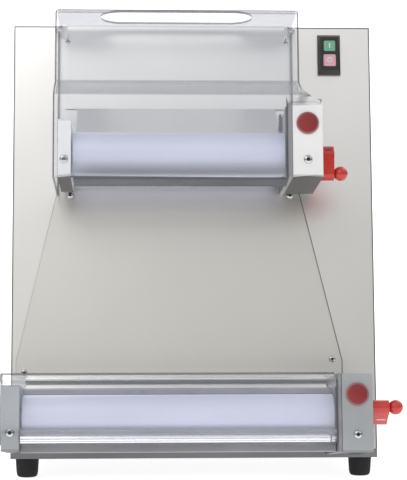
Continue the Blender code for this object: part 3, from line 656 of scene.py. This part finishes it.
def make_lower_guard():
    low, high = node_panel_box("lower_guard")
    left, right, front_u = low[0], high[0], high[1]
    sheet = CLEAR_SHEET
    middle = front_u - sheet / 2
    path = rounded_path([(112.0, 108.0), (middle - 2.0, 95.5), (middle, 34.0)], [5.0], 6)
    guard = solid(prism(strip(path, sheet), "X", left, right), CLEAR)
    fold = rounded_path([(middle, 38.0), (middle, 27.0), (146.0, 17.0)], [4.0], 5)
    boolean(guard, solid(prism(strip(fold, sheet), "X", LOWER.block[1][0] + 1.0, right), CLEAR), "UNION")
    outer = rounded_path([(111.5, 104.0), (111.5, 109.4), (front_u - 3.0, 97.5), (front_u, 27.5),
                          (146.5, 15.5), (132.0, 15.5), (132.0, 40.0), (111.0, 104.0)],
                         [0.5, 6.0, 3.0, 2.0, 6.0, 3.0], 4)
    boolean(guard, solid(prism(outer, "X", left, left + sheet), CLEAR), "UNION")
    flange = [(front_u - 1.0, 88.0), (front_u - 1.0, 27.8), (146.5, 16.0), (134.0, 16.0), (134.0, 30.0),
              (147.0, 36.0), (147.0, 88.0)]
    boolean(guard, solid(prism(flange, "X", right - sheet, right), CLEAR), "UNION")
    split_at(guard, "x", (left + WALL_SEEN, right - WALL_SEEN))

    def mark(x, u, v, normal):
        if -normal.y > 0.5 and (x < left + WALL_SEEN or x > right - WALL_SEEN):
            return EDGE
        # painted shade on the lower guard's top bend
        top_bend = v > 94.0 and u > middle - FRONT_BEND and normal.z > 0.1 and -normal.y > 0.1
        return BEND if top_bend else FACE

    mark_sheet(guard, mark)
    adopt(guard, "lower_guard_sheet", "lower_guard_panel", "clear_plastic", ("lower_guard",), angle=28.0)


# ---------------------------------------------------------------- levers, knobs and caps
ARM = 25.5
BALL = 9.8
UPPER_LEVER_HEADING = -90.0    # the arm's direction in degrees, from level and to the front
LOWER_LEVER_HEADING = 24.0


def make_lever(stage, heading, body, plunger_body):
    pivot = (0.0, -stage.front_u, stage.axis_v)
    near = stage.cover[1][0] + 0.8
    far = stage.lever[1][0]
    reach = (ARM * math.cos(math.radians(heading)), ARM * math.sin(math.radians(heading)))
    outline = arc((0.0, 0.0), 11.5, heading + 78, heading + 282, 22)
    outline += arc(reach, 9.5, heading - 78, heading + 78, 18)
    arm = build(f"{stage.name}_lever_arm_cast", prism(outline, "X", near, far), RED, body, "red_plastic",
                place=pivot, replaces=(f"{stage.name}_lever",))
    slot_side = -1.0 if stage is LOWER else 1.0
    slit = [(along, across * slot_side)
            for along, across in ((-14.0, 4.2), (14.0, 4.2), (14.0, 5.6), (-14.0, 5.6))]
    boolean(arm, solid(prism(slit, "X", near + 5.0, far + 3.0), RED, place=pivot), "DIFFERENCE")
    smooth(arm, SHARP_ANGLE)
    add_bevel(arm, 1.1)
    shaft = [(stage.cover[1][0] - 9.0, 4.4), (near + 0.6, 4.4)]
    build(f"{stage.name}_lever_shaft", turned(shaft, 32), GEAR_STEEL, body, "machined_steel", place=pivot)
    hub = [(far - 0.5, 6.2), (far + 0.5, 6.2), (far + 1.0, 5.6), (far + 1.0, 3.6), (far + 0.4, 3.2)]
    build(f"{stage.name}_lever_hub", turned(hub, 40), RED, body, "red_plastic", place=pivot)

    knob = (0.0, -stage.front_u - reach[0], stage.axis_v + reach[1])
    tip = stage.plunger[1][0] + 0.2
    centre = tip - BALL
    neck = centre - BALL * math.cos(math.asin(4.6 / BALL))
    profile = [(far + 0.1, 5.2), (far + 0.9, 5.8), (far + 1.5, 5.2), (neck - 0.1, 4.5)]
    profile += [(centre - BALL * math.cos(math.radians(a)), BALL * math.sin(math.radians(a)))
                for a in range(30, 178, 8)]
    build(f"{stage.name}_ball_knob", turned(profile, 56), RED, plunger_body, "red_plastic", place=knob,
          replaces=(f"{stage.name}_plunger",))
    pin = [(near + 0.3, 2.4), (near + 0.9, 3.0), (far + 0.2, 3.0)]
    build(f"{stage.name}_plunger_pin", turned(pin, 28), SCREW, plunger_body, "machined_steel", place=knob)


def make_cap(stage):
    low, high = stage.cap
    centre = ((low[0] + high[0]) / 2, -stage.cover[1][1], (low[2] + high[2]) / 2)
    rim = [(0.3, 14.8), (1.6, 14.8), (2.4, 14.3), (2.7, 13.6), (2.5, 12.9), (1.9, 12.7), (1.9, 11.0)]
    build(f"{stage.name}_cap_rim", turned(rim, 72), CAP_RIM, "frame", "cap_red", place=centre, turn=FORWARD,
          replaces=(f"{stage.name}_red_cap",))
    lens = [(1.6, 12.4), (2.2, 12.3), (2.5, 11.6), (2.7, 8.0), (2.8, 4.0), (2.85, 0.6)]
    build(f"{stage.name}_cap_lens", turned(lens, 72), CAP_RED, "frame", "cap_red", place=centre,
          turn=FORWARD)


# ---------------------------------------------------------------- rails of the two stages
def long_rail(name, outline, span, material, slot, bevel=0.4):
    """A straight rail along X with the given (u, v) outline."""
    build(name, prism(outline, "X", *span), material, "frame", slot, bevel=bevel)


def make_rails():
    """Scrapers and rails between the blocks, a black strip of painted shadow under the chute's lip, and the
    rod that the lower guard turns on.
    """
    inside = (LOWER.block[1][0] + 0.6, LOWER.plate[0][0] - 0.6)
    rod = (0.0, -LOWER_HINGE[0], LOWER_HINGE[1])
    profile = [(inside[0], 4.6), (inside[0] + 0.9, ROD_RADIUS), (inside[1] - 9.6, ROD_RADIUS),
               (inside[1] - 8.7, 4.6)]
    build("lower_hinge_rod", turned(profile, 40), POLISHED, "frame", "machined_steel", place=rod)
    drip = [(138.6, 29.4), (141.2, 29.4), (141.2, 33.6), (139.8, 35.4), (138.6, 35.4)]
    long_rail("lower_drip_rail", drip, inside, RAIL_GREY, "stainless_steel")
    # a scraper bar in dark grey; its darkness is partly painted shade of the interior behind the guard
    scraper = [(61.0, 82.6), (72.0, 83.6), (72.0, 90.2), (70.4, 91.8), (61.0, 91.8)]
    long_rail("lower_scraper_bar", scraper, inside, RAIL_GREY, "stainless_steel")
    lip = arc((20.0, 106.6), 2.1, -25, 155, 12)
    long_rail("lower_chute_lip", lip, inside, POLISHED, "stainless_steel", 0.0)
    # painted shadow: a black strip where only the shadowed gap below the chute's lip shows
    shadow_gap = [(24.5, 103.9), (31.0, 100.9), (31.4, 101.8), (24.9, 104.8)]
    long_rail("lower_chute_shadow_strip", shadow_gap, inside, RUBBER, "black_rubber", 0.2)


def make_chute_hems():
    """Folded safety edges along the chute's two slanted sides; the right one in dark steel is painted
    shadow, the left one in lighter steel painted light.
    """
    low, high = node_panel_box("dough_chute")
    for side, bottom_x, top_x, metal in (("left", low[0], CHUTE_TOP_X[0], HEM_PAINTED_LIGHT),
                                         ("right", high[0], CHUTE_TOP_X[1], HEM_PAINTED_SHADE)):
        inward = 1.0 if side == "left" else -1.0
        outline = [(top_x, high[2] - 1.0), (bottom_x, CHUTE_KNEE_V), (bottom_x, 112.0),
                   (bottom_x + inward * HEM, 112.0), (bottom_x + inward * HEM, CHUTE_KNEE_V),
                   (top_x + inward * HEM, high[2] - 1.0)]
        hem = prism(outline, "U", CHUTE_FRONT_U + 0.05, CHUTE_FRONT_U + 1.0)
        build(f"chute_hem_{side}", hem, metal, "frame", "stainless_steel", bevel=0.3)


# ---------------------------------------------------------------- fasteners and feet
def screw_mesh(radius, height):
    """A button-head screw with a hexagon socket, standing along +X."""
    steps = 7
    dome = [(-1.0, radius * 0.5), (0.0, radius * 0.5), (0.0, radius)]
    for step in range(1, steps):
        angle = math.radians(84 * step / steps)
        dome.append((height * math.sin(angle), radius * math.cos(angle) ** 0.75))
    head = solid(turned(dome, 32), SCREW, WORLD)
    head.data.materials.append(SOCKET_DARK)
    size = radius * 0.46
    hexagon = turned([(height * 0.35, size), (height * 2.0, size)], 6)
    hole = solid(hexagon, SCREW, WORLD)
    boolean(head, hole, "DIFFERENCE")
    mesh = head.data
    # faces inside the socket get the dark material: painted shade
    for face in mesh.polygons:
        inner = (Vector((0.0, face.center.y, face.center.z)).length < size * 1.02 * MM
                 and face.center.x < height * 0.93 * MM and face.center.x > 0.2 * MM)
        face.material_index = 1 if inner else 0
    mesh.shade_smooth()
    mesh.set_sharp_from_angle(angle=math.radians(38))
    bpy.data.objects.remove(head)
    return mesh


def place_screw(name, mesh, base, place, turn, spin):
    made = bpy.data.objects.new(name, mesh)
    bpy.context.scene.collection.objects.link(made)
    rotation = turn @ Matrix.Rotation(math.radians(spin), 4, "X")
    made.matrix_world = base @ Matrix.Translation([part * MM for part in place]) @ rotation
    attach(made, "frame")


def make_screws():
    large = screw_mesh(5.8, 3.2)
    medium = screw_mesh(4.5, 2.4)
    small = screw_mesh(3.6, 1.9)
    for index, stage in enumerate((UPPER, LOWER)):
        front = -stage.block[1][1] - 0.05
        block_x = (stage.block[0][0] + stage.block[1][0]) / 2 + (-0.5 if stage is UPPER else 0.0)
        cover_x = (stage.cap[0][0] + stage.cap[1][0]) / 2
        height = stage.axis_v - (13.2 if stage is UPPER else 21.0)
        place_screw(f"{stage.name}_block_screw", large, PANEL, (block_x, front, height), FORWARD,
                    20 + 25 * index)
        cover_height = height if stage is UPPER else height - 4.0
        place_screw(f"{stage.name}_cover_screw", large, PANEL, (cover_x, front, cover_height), FORWARD,
                    40)
    chute_u = -node_panel_box("front_panel")[1][1] - 2.55
    for index, (x, v) in enumerate(((-170.7, 362.0), (134.5, 362.0), (189.8, 134.3), (-232.0, 117.0))):
        place_screw(f"chute_screw_{index + 1}", medium, PANEL, (x, chute_u, v), FORWARD, 17 * index)
    for index, x in enumerate((-174.7, 130.5)):
        plate_u = -node_panel_box("feed_plate")[0][1] - 1.5
        place_screw(f"feed_plate_screw_{index + 1}", small, PANEL, (x, plate_u, 580.0), FORWARD, 33 * index)
    back_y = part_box("back_cover")[1].y / MM
    low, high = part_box("back_cover")
    columns = (-238.0, 0.0, 238.0)
    rows = (low.z / MM + 14.0, (low.z + high.z) / 2 / MM, high.z / MM - 14.0)
    for row, z in enumerate(rows):
        for column, x in enumerate(columns):
            if row == 1 and column == 1:
                continue
            place_screw(f"back_screw_{row + 1}_{column + 1}", medium, WORLD, (x, back_y + 0.05, z), BACKWARD,
                        11 * (row + column))
    top_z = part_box("top_panel")[1].z / MM
    for index, x in enumerate((-225.0, 225.0)):
        for depth, y in enumerate((60.0, back_y - 20.0)):
            place_screw(f"top_screw_{index + 1}_{depth + 1}", medium, WORLD, (x, y, top_z + 0.05), UPWARD,
                        9 * index)


def make_feet():
    for row in ("front", "rear"):
        for side in ("left", "right"):
            node = f"foot_{row}_{side}"
            low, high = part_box(node)
            centre = ((low.x + high.x) / 2 / MM, (low.y + high.y) / 2 / MM, 0.0)
            radius = (high.x - low.x) / 2 / MM
            top = high.z / MM
            profile = [(0.0, radius - 7.5), (0.0, radius - 6.0)]
            profile += arc((4.2, radius - 6.0), 4.2, 180, 108, 6)[1:]
            profile += [(7.0, radius - 1.2), (top - 1.2, radius - 0.1), (top - 0.3, radius - 0.6),
                        (top, radius - 1.2)]
            build(f"{node}_rubber", turned(profile, 64), RUBBER, "frame", "black_rubber", base=WORLD,
                  place=centre, turn=UPWARD, replaces=(node,))


# ---------------------------------------------------------------- switch
def cushion(half_x, half_v, depth, crown):
    """A rounded rectangular button whose front is slightly domed, as (x, u, v) stacked rings."""
    bm = bmesh.new()
    corner = 2.2
    rings = []
    for u, shrink in ((0.0, 0.0), (depth - 1.4, 0.0), (depth - 0.6, 0.35), (depth, 1.2),
                      (depth + crown, 3.6)):
        outline = []
        for sign_x, sign_v, start in ((1, 1, 0), (-1, 1, 90), (-1, -1, 180), (1, -1, 270)):
            centre = (sign_x * (half_x - corner), sign_v * (half_v - corner))
            outline += arc(centre, corner, start, start + 90, 5)
        ring = []
        for x, v in outline:
            ring.append(bm.verts.new((x * (half_x - shrink) / half_x, -u, v * (half_v - shrink) / half_v)))
        rings.append(ring)
    for first, second in zip(rings, rings[1:]):
        bridge(bm, first, second)
    bm.faces.new(rings[0])
    bm.faces.new(rings[-1])
    return bm


def make_switch():
    for node, material, slot, body in (("start_button", GREEN, "green_button", "start_button_cap"),
                                       ("stop_button", PINK, "red_button", "stop_button_cap")):
        low, high = node_panel_box(node)
        centre = ((low[0] + high[0]) / 2, 0.0, (low[2] + high[2]) / 2)
        half_x = (high[0] - low[0]) / 2
        half_v = (high[2] - low[2]) / 2
        place = (centre[0], -low[1], centre[2])
        depth = high[1] - low[1] - 0.4
        build(f"{node}_lens", cushion(half_x, half_v, depth, 0.4), material, body, slot, place=place,
              replaces=(node,))
        front = -high[1] + 0.1
        if node == "start_button":
            mark = prism([(-0.8, -3.6), (0.8, -3.6), (0.8, 3.6), (-0.8, 3.6)], "U", 0.0, 0.25)
            build("start_mark", mark, MARK, body, slot, place=(centre[0], front, centre[2]))
        else:
            ring = turned([(0.0, 2.5), (0.25, 2.5), (0.25, 3.8), (0.0, 3.8)], 40)
            bmesh.ops.delete(ring, geom=[f for f in ring.faces if len(f.verts) > 4], context="FACES_ONLY")
            loops = [e for e in ring.edges if e.is_boundary]
            bmesh.ops.bridge_loops(ring, edges=loops)
            build("stop_mark", ring, MARK, body, slot, place=(centre[0], front, centre[2]), turn=FORWARD)


# ---------------------------------------------------------------- CAD nodes that stay
def finish_node(node, material, bevel=0.0):
    made = frame["nodes"][node]
    made.data.materials.clear()
    made.data.materials.append(material)
    if bevel:
        weld = made.modifiers.new("weld", "WELD")
        weld.merge_threshold = 0.00001
        add_bevel(made, bevel, 2)


def finish_nodes():
    finish_node("front_panel", STEEL)
    finish_node("feed_plate", FEED_STEEL)
    finish_node("dough_chute", CHUTE_STEEL)
    finish_node("base_plate", BASE_STEEL_SHADED, 0.6)
    for node in ("left_side_panel", "right_side_panel", "top_panel", "back_cover"):
        finish_node(node, STEEL_SIDE_SHADED)
    # the lower stage's blocks and cover get the darker copy of the one aluminium, painted shade
    for stage, metal in (("upper", UPPER_WHITE), ("lower", LOWER_ALUMINIUM_SHADED)):
        finish_node(f"{stage}_left_block", metal, 0.8)
        finish_node(f"{stage}_gear_cover", metal, 0.7)
        finish_node(f"{stage}_inner_plate", PLATE_STEEL, 0.3)
        for which in ("front", "rear"):
            finish_node(f"{stage}_{which}_gear", GEAR_STEEL, 0.3)
        finish_node(f"{stage}_rear_pulley", DARK_METAL)
        for side in ("left", "right"):
            finish_node(f"{stage}_front_bearing_{side}", DARK_METAL)
            finish_node(f"{stage}_guard_pin_{side}", SCREW, 0.2)
    finish_node("lower_tie_bar", PLATE_STEEL, 0.6)
    finish_node("switch_housing", BLACK, 0.6)
    finish_node("guard_sensor", BLACK, 0.3)
    finish_node("cable_gland", BLACK)
    finish_node("control_box", BLACK, 0.8)
    finish_node("motor", ENAMEL)
    finish_node("gearbox", CAST_GREY, 1.5)
    for node in ("drive_shaft", "jackshaft"):
        finish_node(node, GEAR_STEEL)
    for node in ("jackshaft_bracket", "drive_shaft_bracket"):
        finish_node(node, PLATE_STEEL, 0.5)
    for node in ("upper_belt", "lower_belt", "long_belt"):
        finish_node(node, BELT)


# ---------------------------------------------------------------- stage, light and camera
WORLD_STRENGTH = 1.25
WORLD_HEIGHTS = ((0.0, (0.10, 0.095, 0.09)), (0.10, (0.20, 0.19, 0.175)), (0.17, (0.42, 0.41, 0.385)),
                 (0.24, (0.66, 0.65, 0.63)), (0.32, (0.76, 0.76, 0.75)), (0.38, (1.0, 1.0, 1.0)),
                 (0.60, (0.86, 0.86, 0.87)), (0.90, (0.60, 0.60, 0.61)))
WORLD_SIDES = ((0.0, 0.15), (0.20, 0.45), (0.38, 0.95), (0.48, 1.0), (0.56, 0.55), (0.66, 0.30),
               (0.80, 0.22), (1.0, 0.12))
FLAG_TOP = (0.32, 0.39)        # the flags at the sides end between these heights of the sky
FLAG_STRENGTH = (1.0, 0.12)    # below and above that
FLOOR_GLOW = 0.86
FLOOR_HALF_WIDTH = 6.0         # metres, as is all of the stage
FLOOR_FRONT = -6.0
BACKDROP_CURVE = 1.2
BACKDROP_FOOT = 4.6
BACKDROP_TOP = 5.0
PANEL_MIDDLE = 0.041           # the sloping panel's middle lies this far behind its foot
CAMERA_X = -0.088
CAMERA_Z = 0.323
CAMERA_DISTANCE = 2.4
CAMERA_YAW = math.radians(2.43)
LENS = 130.1


def make_stage():
    """A pale light table that curves up into a backdrop."""
    floor = Shader("studio_floor", (0.62, 0.62, 0.62), 0.9)
    floor.set("Emission Color", (1.0, 1.0, 1.0, 1.0))
    floor.set("Emission Strength", FLOOR_GLOW)
    grain = floor.noise(40.0, 2.0)
    floor.rough(grain, 0.8, 0.95)
    bm = bmesh.new()
    path = [(FLOOR_FRONT, 0.0), *arc((BACKDROP_FOOT, BACKDROP_CURVE), BACKDROP_CURVE, 270, 360, 12),
            (BACKDROP_FOOT + BACKDROP_CURVE, BACKDROP_TOP)]
    rows = [[bm.verts.new((x, y, z)) for y, z in path] for x in (-FLOOR_HALF_WIDTH, FLOOR_HALF_WIDTH)]
    for index in range(len(path) - 1):
        bm.faces.new((rows[0][index], rows[0][index + 1], rows[1][index + 1], rows[1][index]))
    mesh = bpy.data.meshes.new("studio_floor")
    bm.to_mesh(mesh)
    bm.free()
    mesh.materials.append(floor.material)
    mesh.shade_smooth()
    made = bpy.data.objects.new("studio_floor", mesh)
    bpy.context.scene.collection.objects.link(made)


def make_light(name, place, target, size, watts):
    data = bpy.data.lights.new(name, "AREA")
    data.shape = "RECTANGLE"
    data.size, data.size_y = size
    data.energy = watts
    made = bpy.data.objects.new(name, data)
    bpy.context.scene.collection.objects.link(made)
    made.location = place
    made.rotation_euler = (Vector(target) - Vector(place)).to_track_quat("-Z", "Y").to_euler()


def fill_ramp(ramp, colours):
    """Sets a new colour ramp to the given (position, colour) pairs."""
    stops = ramp.color_ramp.elements
    for stop, (position, colour) in zip(stops, (colours[0], colours[-1])):
        stop.position, stop.color = position, (*colour, 1.0)
    for position, colour in colours[1:-1]:
        stops.new(position).color = (*colour, 1.0)


def make_world():
    """Surroundings of a studio: a bright ceiling, a greyer front and dark flags at the sides."""
    world = bpy.data.worlds.new("studio")
    bpy.context.scene.world = world
    world.use_nodes = True
    nodes, links = world.node_tree.nodes, world.node_tree.links
    background = nodes["Background"]
    place = nodes.new("ShaderNodeTexCoord")
    split = nodes.new("ShaderNodeSeparateXYZ")
    height = nodes.new("ShaderNodeValToRGB")
    links.new(place.outputs["Generated"], split.inputs["Vector"])
    links.new(split.outputs["Z"], height.inputs["Fac"])
    fill_ramp(height, WORLD_HEIGHTS)
    sides = nodes.new("ShaderNodeValToRGB")
    shift = nodes.new("ShaderNodeMath")
    shift.operation = "MULTIPLY_ADD"
    shift.inputs[1].default_value = 0.5
    shift.inputs[2].default_value = 0.5
    links.new(split.outputs["X"], shift.inputs[0])
    links.new(shift.outputs["Value"], sides.inputs["Fac"])
    fill_ramp(sides, [(position, (grey, grey, grey)) for position, grey in WORLD_SIDES])
    mix = nodes.new("ShaderNodeMix")
    mix.data_type = "RGBA"
    mix.blend_type = "MULTIPLY"
    fade = nodes.new("ShaderNodeMapRange")
    fade.inputs["From Min"].default_value, fade.inputs["From Max"].default_value = FLAG_TOP
    fade.inputs["To Min"].default_value, fade.inputs["To Max"].default_value = FLAG_STRENGTH
    links.new(split.outputs["Z"], fade.inputs["Value"])
    links.new(fade.outputs["Result"], mix.inputs[MIX_FACTOR])
    links.new(height.outputs["Color"], mix.inputs[MIX_A])
    links.new(sides.outputs["Color"], mix.inputs[MIX_B])
    links.new(mix.outputs[MIX_RESULT], background.inputs["Color"])
    background.inputs["Strength"].default_value = WORLD_STRENGTH


def make_camera():
    data = bpy.data.cameras.new("camera")
    data.lens = LENS
    data.sensor_width = 36.0
    data.clip_start = 0.05
    made = bpy.data.objects.new("camera", data)
    bpy.context.scene.collection.objects.link(made)
    made.location = (CAMERA_X, PANEL_FOOT_Y * MM + PANEL_MIDDLE - CAMERA_DISTANCE, CAMERA_Z)
    made.rotation_euler = (math.pi / 2, 0.0, -CAMERA_YAW)
    bpy.context.scene.camera = made


def main():
    bpy.context.scene.view_settings.view_transform = "Standard"
    make_camera()
    finish_nodes()
    for stage in (UPPER, LOWER):
        make_rollers(stage)
        make_cap(stage)
    make_lever(UPPER, UPPER_LEVER_HEADING, "upper_lever_arm", "upper_lever_plunger")
    make_lever(LOWER, LOWER_LEVER_HEADING, "lower_lever_arm", "lower_lever_plunger")
    make_upper_guard()
    make_lower_guard()
    make_rails()
    make_chute_hems()
    make_screws()
    make_feet()
    make_switch()
    make_stage()
    make_world()
    make_light("key", (-0.7, -1.3, 1.7), (-0.05, 0.0, 0.45), (0.9, 0.9), 5.5)
    for side, x in (("left", -1.6), ("right", 1.6)):
        make_light(f"table_{side}", (x, 0.7, 2.6), (0.0, 1.5, 0.0), (1.6, 1.0), 12.0)
        make_light(f"backdrop_{side}", (1.5 * x, 2.6, 3.0), (0.0, 5.2, 0.4), (2.4, 1.4), 30.0)


main()
bpy.context.view_layer.update()
